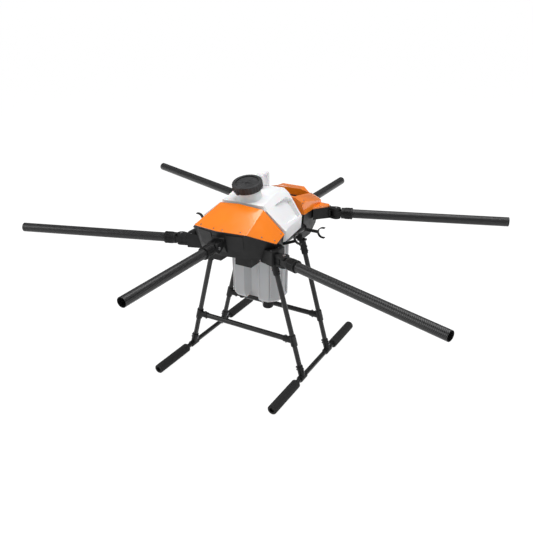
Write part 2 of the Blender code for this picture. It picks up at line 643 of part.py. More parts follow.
lid_low = NECK_TOP_Z + 0.0028
lid = turned("lid", [(0.0, lid_low + 0.0100), (0.0090, lid_low + 0.0100), (0.0090, lid_low + 0.0060),
                     (0.0460, lid_low + 0.0060), (0.0460, lid_low + 0.0032),
                     (0.0530, lid_low + 0.0032), (0.0530, lid_low), (0.0, lid_low)], FINE, AT_NECK)
groove_turn = AT_NECK @ Matrix.Rotation(math.radians(-100), 4, "Z")
groove = plate("groove", [(0.012, -0.0022), (0.050, -0.0022), (0.050, 0.0022), (0.012, 0.0022)],
               lid_low + 0.0045, lid_low + 0.02, groove_turn)
cut(lid, groove)
finish(lid, "filler_lid", NYLON, origin=AT_NECK @ Vector((0, 0, NECK_TOP_Z)))

skirt_low = 0.8230
ring_bore = NECK_R + 0.0012
lock_ring = turned("ring", [(0.0490, RING_TOP_Z - 0.001), (0.0500, RING_TOP_Z), (0.0605, RING_TOP_Z),
                            (0.0625, RING_TOP_Z - 0.002), (0.0625, skirt_low), (ring_bore, skirt_low),
                            (ring_bore, lid_low + 0.0036), (0.0490, lid_low + 0.0036)], 32, AT_NECK)
lug = plate("lug", [(0.0605, -0.008), (0.0690, -0.006), (0.0690, 0.006), (0.0605, 0.008)],
            skirt_low, skirt_low + 0.012, groove_turn)
fuse(lock_ring, lug)
finish(lock_ring, "filler_ring", NYLON, origin=AT_NECK @ Vector((0, 0, NECK_TOP_Z)))

strainer = turned("strainer", [(0.0478, NECK_TOP_Z + 0.0), (0.0478, NECK_TOP_Z - 0.004),
                               (0.0465, NECK_TOP_Z - 0.006), (0.0420, 0.7700), (0.0, 0.7700),
                               (0.0, 0.7715), (0.0405, 0.7715), (0.0450, NECK_TOP_Z)], FINE, AT_NECK)
for i in range(4):
    slot_turn = AT_NECK @ Matrix.Rotation(math.radians(45 * i), 4, "Z")
    slot = box("slot", (-0.07, -0.006, 0.782), (0.07, 0.006, 0.818))
    slot.data.transform(slot_turn)
    cut(strainer, slot)
finish(strainer, "filler_strainer", NYLON)

outlet = turned("outlet", [(0.0060, 0.0200), (0.0086, 0.0200), (0.0086, -GAP), (0.0240, -GAP),
                           (0.0240, -0.0340), (0.0215, -0.0370), (0.0060, -0.0370)], FINE,
                Matrix.Translation(OUTLET))
finish(outlet, "tank_outlet", NYLON)
drain = turned("drain", [(0.0, 0.0120), (0.0086, 0.0120), (0.0086, -GAP), (0.0150, -GAP),
                         (0.0160, -0.0120), (0.0120, -0.0220), (0.0, -0.0260)], COARSE,
               Matrix.Translation(DRAIN))
finish(drain, "drain_plug", NYLON)


# --------------------------------------------------------------------------- landing gear
def leg_x(z):
    """How far out a leg's axis lies at height z."""
    return SKID_X - LEG_SLOPE * (z - SKID_Z)


LEG_TOP_Z = TUB_BOTTOM_Z - 0.006
LEG_FOOT_Z = SKID_Z + SKID_R + 0.0012
SLEEVE_R = 0.0150           # outside of every sleeve and socket on the gear
SLEEVE_GAP = 0.0006
SKID_FRONT_Y, SKID_REAR_Y = -0.4180, 0.3560
FOAM_SPANS = {"front": (-0.4280, -0.2150), "rear": (0.1560, 0.3650)}
LEG_PLACES = {"front": FRONT_LEG_Y, "rear": REAR_LEG_Y}
SIDES = {"right": 1, "left": -1}


def on_leg(side, y, z):
    return Vector((side * leg_x(z), y, z))


def make_leg(side, y):
    """A leg tube with the socket that bolts it under a tub."""
    leg = rod("leg", on_leg(side, y, LEG_FOOT_Z), on_leg(side, y, LEG_TOP_Z), LEG_R)
    top_x = side * leg_x(LEG_TOP_Z)
    fuse(leg, rod("socket", on_leg(side, y, 0.492), on_leg(side, y, LEG_TOP_Z + 0.002), SLEEVE_R),
         box("flange", (top_x - 0.018, y - 0.0135, LEG_TOP_Z - 0.002),
             (top_x + 0.018, y + 0.0135, TUB_BOTTOM_Z - GAP)))
    return leg


def make_crossbar(y):
    """A bar across the gear, with a tee at each end that sleeves a leg."""
    reach = leg_x(CROSSBAR_Z)
    bar = rod("bar", (-reach, y, CROSSBAR_Z), (reach, y, CROSSBAR_Z), CROSSBAR_R)
    for side in SIDES.values():
        low, high = on_leg(side, y, CROSSBAR_Z - 0.024), on_leg(side, y, CROSSBAR_Z + 0.024)
        middle = on_leg(side, y, CROSSBAR_Z)
        fuse(bar, rod("tee", low, high, SLEEVE_R),
             rod("arm", middle, middle - Vector((side * 0.046, 0, 0)), 0.0146))
        beyond = (high - low).normalized() * 0.03
        cut(bar, rod("leg_bore", low - beyond, high + beyond, LEG_R + SLEEVE_GAP))
    return bar


def make_skid(side):
    """A skid tube with the two tees that the legs stand in."""
    skid = rod("skid", (side * SKID_X, SKID_FRONT_Y, SKID_Z), (side * SKID_X, SKID_REAR_Y, SKID_Z), SKID_R)
    for y in LEG_PLACES.values():
        foot = Vector((side * SKID_X, y, SKID_Z))
        sleeve = Vector((0, 0.024, 0))
        fuse(skid, rod("tee", foot - sleeve, foot + sleeve, SLEEVE_R),
             rod("riser", foot + Vector((0, 0, 0.003)), on_leg(side, y, 0.074), SLEEVE_R - 0.0005))
        cut(skid, rod("leg_bore", on_leg(side, y, LEG_FOOT_Z - GAP), on_leg(side, y, 0.09),
                      LEG_R + SLEEVE_GAP))
    return skid


def make_foot(side, start, stop):
    """A foam sleeve on one end of a skid."""
    half = (stop - start) / 2
    bore, lip = SKID_R + SLEEVE_GAP, 0.004
    profile = [(bore, half), (FOOT_R - lip, half), (FOOT_R, half - lip), (FOOT_R, -half + lip),
               (FOOT_R - lip, -half), (bore, -half)]
    place = Matrix.Translation((side * SKID_X, (start + stop) / 2, SKID_Z)) \
        @ Matrix.Rotation(math.radians(90), 4, "X")
    return turned("foot", profile, FINE, place)


for end, y in LEG_PLACES.items():
    for side_name, side in SIDES.items():
        finish(make_leg(side, y), f"leg_{end}_{side_name}", CARBON)
    finish(make_crossbar(y), f"crossbar_{end}", CARBON)
for side_name, side in SIDES.items():
    finish(make_skid(side), f"skid_{side_name}", CARBON)
    for end, (start, stop) in FOAM_SPANS.items():
        finish(make_foot(side, start, stop), f"foam_foot_{end}_{side_name}", FOAM)

for cutter in CUTTERS.objects:
    cutter.hide_render = True
    cutter.display_type = "WIRE"
bpy.context.view_layer.update()
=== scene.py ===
"""Looks of a folding six-arm spray drone airframe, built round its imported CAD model.

Metres, +Z up, nose along -Y, origin on the ground under the middle of the frame. Every piece is
modelled in place and then rides on the CAD body it belongs to.
"""

import json
import math

import bmesh
import bpy
from mathutils import Matrix, Vector
from mathutils.bvhtree import BVHTree


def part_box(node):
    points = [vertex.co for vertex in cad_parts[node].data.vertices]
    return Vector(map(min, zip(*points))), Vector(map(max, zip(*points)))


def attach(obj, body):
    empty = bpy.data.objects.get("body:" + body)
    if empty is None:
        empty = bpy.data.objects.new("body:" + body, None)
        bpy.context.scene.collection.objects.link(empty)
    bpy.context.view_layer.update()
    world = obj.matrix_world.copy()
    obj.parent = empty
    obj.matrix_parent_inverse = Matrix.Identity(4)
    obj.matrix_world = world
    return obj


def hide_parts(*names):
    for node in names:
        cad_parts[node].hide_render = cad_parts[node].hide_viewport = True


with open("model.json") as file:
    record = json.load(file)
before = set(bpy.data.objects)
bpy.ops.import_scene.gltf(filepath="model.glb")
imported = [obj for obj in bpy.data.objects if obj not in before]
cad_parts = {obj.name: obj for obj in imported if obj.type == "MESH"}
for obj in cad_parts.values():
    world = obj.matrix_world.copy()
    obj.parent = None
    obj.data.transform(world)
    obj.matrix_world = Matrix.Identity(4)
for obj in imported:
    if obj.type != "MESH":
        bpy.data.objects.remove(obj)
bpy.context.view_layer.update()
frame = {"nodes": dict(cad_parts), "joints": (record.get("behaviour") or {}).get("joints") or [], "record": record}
NODES = frame["nodes"]
BODY_OF = {node: body for body, nodes in frame["record"]["behaviour"]["bodies"].items()
           for node in nodes}
JOINTS = {joint["name"]: joint for joint in frame["joints"]}
SIDES = {"right": 1, "left": -1}


# --------------------------------------------------------------------------- materials
class Paint:
    """A Principled material, the record slot it stands for, and helpers that add detail."""

    def __init__(self, name, slot, color, roughness, **sockets):
        self.material = bpy.data.materials.new(name)
        self.material.use_nodes = True
        self.slot = slot
        self.tree = self.material.node_tree
        self.shader = self.tree.nodes["Principled BSDF"]
        self.shader.inputs["Base Color"].default_value = (*color, 1.0)
        self.shader.inputs["Roughness"].default_value = roughness
        for socket, value in sockets.items():
            self.shader.inputs[socket.replace("_", " ")].default_value = value
        self.place = self.add("ShaderNodeTexCoord").outputs["Object"]
        self.normal = None

    def add(self, kind, links=None, values=None, **settings):
        """A new node with settings, socket values and incoming links."""
        node = self.tree.nodes.new(kind)
        for key, value in settings.items():
            setattr(node, key, value)
        for key, value in (values or {}).items():
            node.inputs[key].default_value = value
        for key, source in (links or {}).items():
            self.tree.links.new(source, node.inputs[key])
        return node

    def math(self, operation, first, second=None):
        node = self.add("ShaderNodeMath", operation=operation)
        for socket, value in zip(node.inputs, (first, second)):
            if isinstance(value, (int, float)):
                socket.default_value = value
            elif value is not None:
                self.tree.links.new(value, socket)
        return node.outputs[0]

    def noise(self, scale, detail=3.0, stretch=None):
        place = self.place
        if stretch is not None:
            place = self.add("ShaderNodeVectorMath", {0: place}, {1: stretch},
                             operation="MULTIPLY").outputs[0]
        return self.add("ShaderNodeTexNoise", {"Vector": place},
                        {"Scale": scale, "Detail": detail}).outputs[0]

    def spread(self, source, low, high):
        """The source, from its middle band, mapped to low..high."""
        return self.add("ShaderNodeMapRange", {0: source},
                        {1: 0.3, 2: 0.7, 3: low, 4: high}).outputs[0]

    def tint(self, factor, first, second):
        mix = self.add("ShaderNodeMix", data_type="RGBA")
        self.tree.links.new(factor, mix.inputs[0])
        mix.inputs[6].default_value = (*first, 1.0)
        mix.inputs[7].default_value = (*second, 1.0)
        self.tree.links.new(mix.outputs[2], self.shader.inputs["Base Color"])

    def gloss(self, source, low, high):
        self.tree.links.new(self.spread(source, low, high), self.shader.inputs["Roughness"])

    def bump(self, height, strength, distance):
        node = self.add("ShaderNodeBump", {"Height": height},
                        {"Strength": strength, "Distance": distance})
        if self.normal is not None:
            self.tree.links.new(self.normal, node.inputs["Normal"])
        self.normal = node.outputs[0]
        self.tree.links.new(self.normal, self.shader.inputs["Normal"])


# Woven tubes: a 2 x 2 twill read from the tubes' own UVs, which count tows round and along them.
TOWS_ROUND = 64
TOW = 0.00196
carbon = Paint("carbon_twill", "carbon_tube", (0.02, 0.02, 0.02), 0.3, Coat_Weight=0.12,
               Coat_Roughness=0.12, Specular_IOR_Level=0.20)
tows = carbon.add("ShaderNodeSeparateXYZ", {0: carbon.add("ShaderNodeTexCoord").outputs["UV"]})
across, along = tows.outputs[0], tows.outputs[1]
step = carbon.math("SUBTRACT", carbon.math("FLOOR", across), carbon.math("FLOOR", along))
over = carbon.math("LESS_THAN", carbon.math("FLOORED_MODULO", step, 4.0), 1.5)
# The weave layout is real; the lighter and darker tows are painted sheen, standing in for each tow direction's own
# reflection.
carbon.tint(over, (0.0012, 0.0012, 0.0013), (0.052, 0.052, 0.053))
carbon.gloss(over, 0.42, 0.26)
crown = [carbon.math("PINGPONG", tow, 0.5) for tow in (across, along)]
round_tow = carbon.math("ADD", carbon.math("MULTIPLY", crown[0], over),
                        carbon.math("MULTIPLY", crown[1], carbon.math("SUBTRACT", 1.0, over)))
carbon.bump(round_tow, 0.35, 0.0002)

# Pulled carbon tubes of the landing gear: fine lengthwise grain under a thin gloss.
gear_tube = Paint("pultruded_carbon", "carbon_tube", (0.020, 0.020, 0.021), 0.36, Coat_Weight=0.15,
                  Coat_Roughness=0.2, Specular_IOR_Level=0.3)
grain = gear_tube.noise(260.0, 4.0, (1.0, 0.12, 0.12))
gear_tube.tint(gear_tube.spread(grain, 0.0, 1.0), (0.0060, 0.0060, 0.0063),
               (0.0220, 0.0220, 0.0225))
gear_tube.gloss(grain, 0.28, 0.46)
gear_tube.bump(grain, 0.12, 0.0002)

# Moulded glass-filled nylon: fine texture, slightly uneven sheen.
nylon = Paint("moulded_nylon", "black_nylon", (0.020, 0.020, 0.021), 0.46,
              Specular_IOR_Level=0.22)
nylon.tint(nylon.spread(nylon.noise(18.0, 4.0), 0.0, 1.0), (0.0080, 0.0081, 0.0084),
           (0.0150, 0.0151, 0.0155))
nylon.gloss(nylon.noise(42.0, 3.0), 0.36, 0.52)
nylon.bump(nylon.noise(1500.0, 2.0), 0.16, 0.00025)

cap_plastic = Paint("cap_plastic", "black_nylon", (0.045, 0.045, 0.047), 0.42,
                    Specular_IOR_Level=0.3)
cap_plastic.tint(cap_plastic.spread(cap_plastic.noise(30.0, 4.0), 0.0, 1.0), (0.022, 0.022, 0.023),
                 (0.040, 0.040, 0.042))
cap_plastic.gloss(cap_plastic.noise(60.0, 3.0), 0.34, 0.52)
cap_plastic.bump(cap_plastic.noise(900.0, 2.0), 0.2, 0.0003)

# Painted shells: gloss orange with a trace of orange peel and faint dust in the sheen.
orange = Paint("orange_gloss", "orange_gloss", (0.93, 0.185, 0.008), 0.2, Coat_Weight=0.7,
               Coat_Roughness=0.07)
orange.tint(orange.spread(orange.noise(7.0, 5.0), 0.0, 1.0), (0.880, 0.205, 0.0075),
            (0.950, 0.235, 0.0105))
orange.gloss(orange.noise(25.0, 5.0), 0.17, 0.27)
orange.bump(orange.noise(420.0, 2.0), 0.035, 0.0003)

# Blow-moulded tank: milky and slightly see-through, so light bleeds through its skin. The lower
# body is greyer with painted shade from the hood, blending into the upper one from z 0.60 to 0.70.
tank_white = Paint("milky_polyethylene", "tank_plastic", (0.80, 0.805, 0.815), 0.36,
                   Subsurface_Weight=0.15, Subsurface_Scale=0.015)
height = tank_white.add("ShaderNodeSeparateXYZ", {0: tank_white.place}).outputs[2]
cloud = tank_white.math("MULTIPLY", tank_white.noise(9.0, 5.0), 0.03)
shade = tank_white.add("ShaderNodeMapRange", {0: tank_white.math("ADD", height, cloud)},
                       {1: 0.60, 2: 0.70, 3: 0.0, 4: 1.0}).outputs[0]
# Painted shade: grey low on the body, where the hood shades it, white above z 0.70.
tank_white.tint(shade, (0.430, 0.435, 0.445), (0.800, 0.805, 0.815))
tank_white.gloss(tank_white.noise(35.0, 4.0), 0.30, 0.44)
tank_white.bump(tank_white.noise(160.0, 3.0), 0.06, 0.0006)

foam = Paint("closed_cell_foam", "black_foam", (0.013, 0.013, 0.013), 0.92)
foam.tint(foam.spread(foam.noise(300.0, 5.0), 0.0, 1.0), (0.0085, 0.0085, 0.0085),
          (0.022, 0.022, 0.022))
foam.bump(foam.add("ShaderNodeTexVoronoi", {"Vector": foam.place}, {"Scale": 520.0}).outputs[0],
          0.5, 0.0005)

rubber = Paint("rubber_seal", "black_rubber", (0.016, 0.016, 0.016), 0.72)
rubber.gloss(rubber.noise(200.0, 3.0), 0.62, 0.82)
rubber.bump(rubber.noise(900.0, 2.0), 0.12, 0.0002)

steel = Paint("blackened_steel", "steel", (0.16, 0.16, 0.17), 0.34, Metallic=1.0)
steel.gloss(steel.noise(500.0, 4.0), 0.24, 0.46)
steel.bump(steel.noise(900.0, 2.0), 0.08, 0.0001)

pin_steel = Paint("bright_steel", "steel", (0.52, 0.52, 0.53), 0.3, Metallic=1.0)
pin_steel.gloss(pin_steel.noise(500.0, 4.0), 0.2, 0.4)
pin_steel.bump(pin_steel.noise(1200.0, 2.0, (1.0, 1.0, 0.1)), 0.08, 0.0001)


# --------------------------------------------------------------------------- mesh helpers
def lathe(profile, sides=32, place=None, weave=False):
    """A closed (radius, height) section turned about Z. weave lays UVs in tows on it."""
    bm = bmesh.new()
    layer = bm.loops.layers.uv.new("UVMap")
    rings = [[bm.verts.new((r * math.cos(a), r * math.sin(a), h)) for r, h in profile]
             for a in (math.tau * i / sides for i in range(sides))]
    for i in range(sides):
        one, two = rings[i], rings[(i + 1) % sides]
        for j, (radius, height) in enumerate(profile):
            k = (j + 1) % len(profile)
            if radius < 1e-9 and profile[k][0] < 1e-9:
                continue
            face = bm.faces.new((one[j], two[j], two[k], one[k]))
            if weave:
                steps = (i, i + 1, i + 1, i)
                heights = (height, height, profile[k][1], profile[k][1])
                for loop, turn, high in zip(face.loops, steps, heights):
                    loop[layer].uv = (turn * TOWS_ROUND / sides, high / TOW)
    bmesh.ops.remove_doubles(bm, verts=bm.verts, dist=1e-7)
    bmesh.ops.recalc_face_normals(bm, faces=bm.faces)
    if place is not None:
        bmesh.ops.transform(bm, matrix=place, verts=bm.verts)
    return bm


def prism(outline, low, high, place=None, taper=1.0):
    """A flat outline in XY thick from low to high; its top is scaled by taper."""
    middle = Vector((sum(p[0] for p in outline), sum(p[1] for p in outline))) / len(outline)
    bm = bmesh.new()
    bottom = [bm.verts.new((x, y, low)) for x, y in outline]
    top = [bm.verts.new((*(middle + (Vector(p) - middle) * taper), high)) for p in outline]
    bm.faces.new(bottom[::-1])
    bm.faces.new(top)
    for i in range(len(outline)):
        j = (i + 1) % len(outline)
        bm.faces.new((bottom[i], bottom[j], top[j], top[i]))
    bmesh.ops.recalc_face_normals(bm, faces=bm.faces)
    if place is not None:
        bmesh.ops.transform(bm, matrix=place, verts=bm.verts)
    return bm


def slab(low, high):
    """A box between two corners."""
    (x0, y0, z0), (x1, y1, z1) = low, high
    return prism([(x0, y0), (x1, y0), (x1, y1), (x0, y1)], z0, z1)


def bar(start, end, radius, sides=16):
    """A round bar between two points."""
    start, end = Vector(start), Vector(end)
    length = (end - start).length
    place = Matrix.Translation(start) @ (end - start).to_track_quat("Z", "Y").to_matrix().to_4x4()
    return lathe([(0.0, 0.0), (radius, 0.0), (radius, length), (0.0, length)], sides, place)


def merge(*meshes):
    """Several closed meshes as one."""
    whole = meshes[0]
    for other in meshes[1:]:
        scrap = bpy.data.meshes.new("scrap")
        other.to_mesh(scrap)
        other.free()
        whole.from_mesh(scrap)
        bpy.data.meshes.remove(scrap)
    return whole


def loose(bm, name="tool"):
    mesh = bpy.data.meshes.new(name)
    bm.to_mesh(mesh)
    bm.free()
    obj = bpy.data.objects.new(name, mesh)
    bpy.context.scene.collection.objects.link(obj)
    return obj


def carved(bm, *tools, join=()):
    """The mesh with tools cut away and join meshes united with it."""
    obj = loose(bm, "carved")
    cutters = [(loose(tool), "DIFFERENCE") for tool in tools]
    cutters = [(loose(extra), "UNION") for extra in join] + cutters
    for tool, operation in cutters:
        modifier = obj.modifiers.new(operation, "BOOLEAN")
        modifier.operation, modifier.solver, modifier.object = operation, "EXACT", tool
    graph = bpy.context.evaluated_depsgraph_get()
    result = bmesh.new()
    result.from_object(obj, graph)
    for extra in [obj] + [tool for tool, _ in cutters]:
        bpy.data.objects.remove(extra, do_unlink=True)
    bmesh.ops.remove_doubles(result, verts=result.verts, dist=1e-6)
    bmesh.ops.dissolve_limit(result, angle_limit=math.radians(0.4), verts=result.verts,
                             edges=result.edges)
    return result


def piece(name, bm, paint, body, bevel=0.0, segments=2, replaces=(), sharp=32.0, second=None,
          is_second=None):
    """A finished piece: mesh, softened edges, material and body."""
    mesh = bpy.data.meshes.new(name)
    mesh.materials.append(paint.material)
    if second is not None:
        mesh.materials.append(second.material)
        for face in bm.faces:
            face.material_index = int(is_second(face.calc_center_median()))
    bm.to_mesh(mesh)
    bm.free()
    mesh.shade_smooth()
    mesh.set_sharp_from_angle(angle=math.radians(sharp))
    obj = bpy.data.objects.new(name, mesh)
    bpy.context.scene.collection.objects.link(obj)
    if bevel:
        soft = obj.modifiers.new("soft_edges", "BEVEL")
        soft.width, soft.segments = bevel, segments
        soft.limit_method, soft.angle_limit = "ANGLE", math.radians(28)
        soft.harden_normals = True
    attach(obj, body)
    if replaces:
        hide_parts(*replaces)
    return obj


def welded(node):
    """The CAD node's own shape as one clean mesh, flat areas joined."""
    source = NODES[node].data
    clean = bpy.data.meshes.new("clean")
    clean.from_pydata([v.co for v in source.vertices], [], [p.vertices[:] for p in source.polygons])
    bm = bmesh.new()
    bm.from_mesh(clean)
    bpy.data.meshes.remove(clean)
    bmesh.ops.remove_doubles(bm, verts=bm.verts, dist=1e-5)
    bmesh.ops.dissolve_limit(bm, angle_limit=math.radians(0.5), verts=bm.verts, edges=bm.edges)
    return bm


def refined(node, paint, bevel=0.0008, **options):
    """A softened copy of a CAD node in its place."""
    return piece(f"{node}_skin", welded(node), paint, BODY_OF[node], bevel, replaces=(node,),
                 **options)


def facing(at, normal):
    """A frame at a point with Z along the normal."""
    turn = Vector(normal).to_track_quat("Z", "Y").to_matrix().to_4x4()
    return Matrix.Translation(Vector(at)) @ turn


def button_screw(at, normal, radius=0.0034):
    """A button-head screw with a hexagon socket."""
    r = radius
    return lathe([(0.0, -0.5 * r), (r, -0.5 * r), (r, 0.10 * r), (0.86 * r, 0.36 * r),
                  (0.60 * r, 0.50 * r), (0.46 * r, 0.52 * r), (0.40 * r, 0.16 * r),
                  (0.0, 0.12 * r)], 12, facing(at, normal))


def hex_bolt(start, end, radius=0.0024):
    """A bolt right through a joint, with a hexagon head and nut."""
    start, end = Vector(start), Vector(end)
    way = (end - start).normalized()
    head, nut = facing(start, -way), facing(end, way)
    six = [(1.9 * radius * math.cos(math.tau * i / 6), 1.9 * radius * math.sin(math.tau * i / 6))
           for i in range(6)]
    return merge(bar(start - way * 0.0005, end + way * 1.6 * radius, radius, 10),
                 prism(six, 0.0, 1.5 * radius, head), prism(six, 0.0, 1.3 * radius, nut))


def drop(node, x, y):
    """Where a plumb line at x, y first meets a CAD node, and the surface's normal there."""
    mesh = NODES[node].data
    tree = BVHTree.FromPolygons([v.co for v in mesh.vertices],
                                [p.vertices[:] for p in mesh.polygons])
    point, normal, _, _ = tree.ray_cast(Vector((x, y, 2.0)), Vector((0.0, 0.0, -1.0)))
    return point, normal


# --------------------------------------------------------------------------- arms
TUBE_R, TUBE_BORE_R = 0.0200, 0.0182
TUBE_START = 0.0363
COLLAR_LOW, COLLAR_HIGH, COLLAR_R, COLLAR_RIBS = 0.0366, 0.0740, 0.0262, 18
ALONG_X = Matrix.Rotation(math.radians(90), 4, "Y")
ROOT_SCREWS = {"front": [(-0.083, -0.022), (-0.052, -0.024), (-0.088, 0.030), (-0.060, 0.022)],
               "rear": [(-0.078, -0.020), (-0.046, -0.020), (-0.080, 0.014)],
               "end": [(-0.078, -0.016), (-0.078, 0.016), (-0.050, -0.020)]}


def collar_ribs(place):
    """Grip ribs round a lock collar."""
    section = [(0.0238, -0.0013), (0.0258, -0.0009), (0.0258, 0.0009), (0.0238, 0.0013)]
    return [prism(section, 0.0405, 0.0635,
                  place @ ALONG_X @ Matrix.Rotation(math.tau * i / COLLAR_RIBS, 4, "Z"))
            for i in range(COLLAR_RIBS)]


def fold_frame(arm):
    """An arm's own axes: X out along it, Z along its fold pin, origin on the pin."""
    hinge, slide = JOINTS[f"fold_{arm}"], JOINTS[f"unlock_{arm}"]
    z_axis, x_axis = Vector(hinge["axis"]).normalized(), Vector(slide["axis"]).normalized()
    turn = Matrix((x_axis, z_axis.cross(x_axis), z_axis)).transposed().to_4x4()
    return Matrix.Translation(Vector(hinge["pos_m"])) @ turn


for arm in ("nose", "tail", "front_right", "front_left", "rear_right", "rear_left"):
    place = fold_frame(arm)
    inward = place.inverted()
    body = f"arm_{arm}"
    reach = max((inward @ v.co).x for v in NODES[f"arm_tube_{arm}"].data.vertices)
    chamfer = 0.0005
    tube = lathe([(TUBE_BORE_R, TUBE_START), (TUBE_R, TUBE_START), (TUBE_R, reach - chamfer),
                  (TUBE_R - chamfer, reach), (TUBE_BORE_R + chamfer, reach),
                  (TUBE_BORE_R, reach - chamfer)], 64, place @ ALONG_X, weave=True)
    piece(f"arm_tube_{arm}_woven", tube, carbon, body, replaces=(f"arm_tube_{arm}",), sharp=25)

    inner = TUBE_R + 0.0007
    collar = lathe([(inner, COLLAR_LOW), (0.0246, COLLAR_LOW), (0.0252, COLLAR_LOW + 0.0008),
                    (0.0252, 0.0396), (0.0241, 0.0402), (0.0241, 0.0640), (0.0252, 0.0648),
                    (COLLAR_R, 0.0662), (COLLAR_R, 0.0726), (0.0250, COLLAR_HIGH),
                    (inner, COLLAR_HIGH)], 48, place @ ALONG_X)
    piece(f"lock_collar_{arm}_ribbed", merge(collar, *collar_ribs(place)), nylon, f"collar_{arm}",
          replaces=(f"lock_collar_{arm}",))

    refined(f"arm_knuckle_{arm}", nylon, 0.0007)
    refined(f"arm_root_{arm}", nylon, 0.0014, segments=3)
    refined(f"fold_pin_{arm}", pin_steel, 0.0003)

    kind = arm.split("_")[0] if "_" in arm else "end"
    screws = []
    for x, y in ROOT_SCREWS[kind]:
        spot = place @ Vector((x, y, 0.0))
        if kind == "end":                     # these pins lie flat, so their tops face local -Y
            spot = place @ Vector((x, 0.0, y))
        point, normal = drop(f"arm_root_{arm}", spot.x, spot.y)
        screws.append(button_screw(point, normal, 0.0036))
    piece(f"root_screws_{arm}", merge(*screws), steel, "airframe")

# --------------------------------------------------------------------------- chassis and hoods
BEAM_X, BEAM_Z, FLANGE_FROM_R = 0.165, 0.622, 0.0158     # past this radius a beam is its flange
refined("front_chassis", nylon, 0.0015, segments=3)
refined("rear_chassis", nylon, 0.0015, segments=3)
for side_name, side in SIDES.items():
    refined(f"chassis_beam_{side_name}", gear_tube, 0.0005, second=nylon,
            is_second=lambda c, s=side: math.hypot(c.x - s * BEAM_X, c.z - BEAM_Z) > FLANGE_FROM_R)
    refined(f"arm_clip_{side_name}", nylon, 0.0008)
refined("electronics_tray", nylon, 0.0006)
refined("battery_tray", nylon, 0.0012, segments=3)


def front_facet(x, z):
    """A point on the front wall of the front tub."""
    return Vector((x, -0.3400 + 0.2082 * abs(x) - 0.2414 * (z - 0.716), z))


# Raised panels on the two front walls, either side of the nose arm.
SHIELD = [(0.1050, 0.7040), (0.1010, 0.6420), (0.0630, 0.6290), (0.0345, 0.6560), (0.0345, 0.7040)]
for side_name, side in SIDES.items():
    corners = [front_facet(side * x, z) for x, z in SHIELD]
    normal = (corners[1] - corners[0]).cross(corners[2] - corners[0]).normalized()
    if normal.y > 0:
        normal = -normal
    bm = bmesh.new()
    back = [bm.verts.new(corner - normal * 0.0020) for corner in corners]
    face = [bm.verts.new(corner + normal * 0.0024) for corner in corners]
    bm.faces.new(back[::-1])
    bm.faces.new(face)
    for i in range(len(corners)):
        j = (i + 1) % len(corners)
        bm.faces.new((back[i], back[j], face[j], face[i]))
    bmesh.ops.recalc_face_normals(bm, faces=bm.faces)
    piece(f"front_panel_{side_name}", bm, nylon, "airframe", 0.0009, 2)

# Front hood, its dark seal line, and its screws.
refined("front_hood", orange, 0.0016, segments=3)
HOOD_EDGE = [(0.0, -0.3450, 0.7200), (0.1240, -0.3180, 0.7150), (0.2050, -0.2250, 0.6620),
             (0.2030, -0.1560, 0.6775)]
edge = [Vector((-x, y, z)) for x, y, z in HOOD_EDGE[:0:-1]] + [Vector(p) for p in HOOD_EDGE]
middle = Vector((0.0, -0.19, 0.0))
bm = bmesh.new()
stations = []
for point in edge:
    inward = (middle - Vector((point.x, point.y, 0.0))).normalized()
    outer, inner = point + inward * 0.0012, point + inward * 0.0052
    stations.append([bm.verts.new(outer + Vector((0, 0, -0.0012))),
                     bm.verts.new(outer + Vector((0, 0, -0.0052))),
                     bm.verts.new(inner + Vector((0, 0, -0.0052))),
                     bm.verts.new(inner + Vector((0, 0, -0.0012)))])
for one, two in zip(stations, stations[1:]):
    for i in range(4):
        j = (i + 1) % 4
        bm.faces.new((one[i], one[j], two[j], two[i]))
bm.faces.new(stations[0])
bm.faces.new(stations[-1][::-1])
bmesh.ops.recalc_face_normals(bm, faces=bm.faces)
piece("front_hood_seal", bm, rubber, "airframe")

HOOD_SCREWS = [(0.020, -0.330), (0.094, -0.3130), (0.160, -0.2620), (0.194, -0.2200),
               (0.1935, -0.1680)]
piece("front_hood_screws", merge(*[button_screw(*drop("front_hood", side * x, y), 0.0032)
                                   for side in SIDES.values() for x, y in HOOD_SCREWS]),
      steel, "airframe")

# Rear hood with its ridges and screws.
refined("rear_hood", orange, 0.0016, segments=3)
REAR_SCREWS = [(0.1480, 0.1200), (0.1560, 0.0940), (0.1960, 0.2380), (0.1880, 0.2030),
               (0.0900, 0.2860), (0.1180, 0.2550)]
piece("rear_hood_screws", merge(*[button_screw(*drop("rear_hood", side * x, y), 0.0032)
                                  for side in SIDES.values() for x, y in REAR_SCREWS]),
      steel, "airframe")
for side_name, side in SIDES.items():
    ridges = []
    for share in (0.20, 0.42, 0.64):
        ends = []
        for y, knee, shoulder in ((0.0900, (0.1710, 0.6920), (0.1520, 0.7370)),
                                  (0.1500, (0.1698, 0.6950), (0.1404, 0.7302))):
            x = knee[0] + (shoulder[0] - knee[0]) * share
            z = knee[1] + (shoulder[1] - knee[1]) * share
            ends.append(Vector((side * x, y, z)))
        ridges.append(bar(ends[0], ends[1], 0.0017, 10))
    piece(f"rear_hood_ridges_{side_name}", merge(*ridges), orange, "airframe")

# Inside the battery bay: two rails, a bulkhead connector and its two sockets.
rails = [slab((side * 0.070 - 0.006, 0.116, 0.6495), (side * 0.070 + 0.006, 0.242, 0.6535))
         for side in SIDES.values()]
piece("battery_rails", merge(*rails), rubber, "airframe", 0.0008)
piece("battery_connector", slab((-0.024, 0.234, 0.660), (0.024, 0.2470, 0.684)), cap_plastic,
      "airframe", 0.0015, 3)
pins = [lathe([(0.0032, 0.0), (0.0058, 0.0), (0.0058, 0.0040), (0.0032, 0.0040)], 20,
              facing((side * 0.011, 0.2345, 0.672), (0, -1, 0))) for side in SIDES.values()]
piece("battery_sockets", merge(*pins), pin_steel, "airframe")

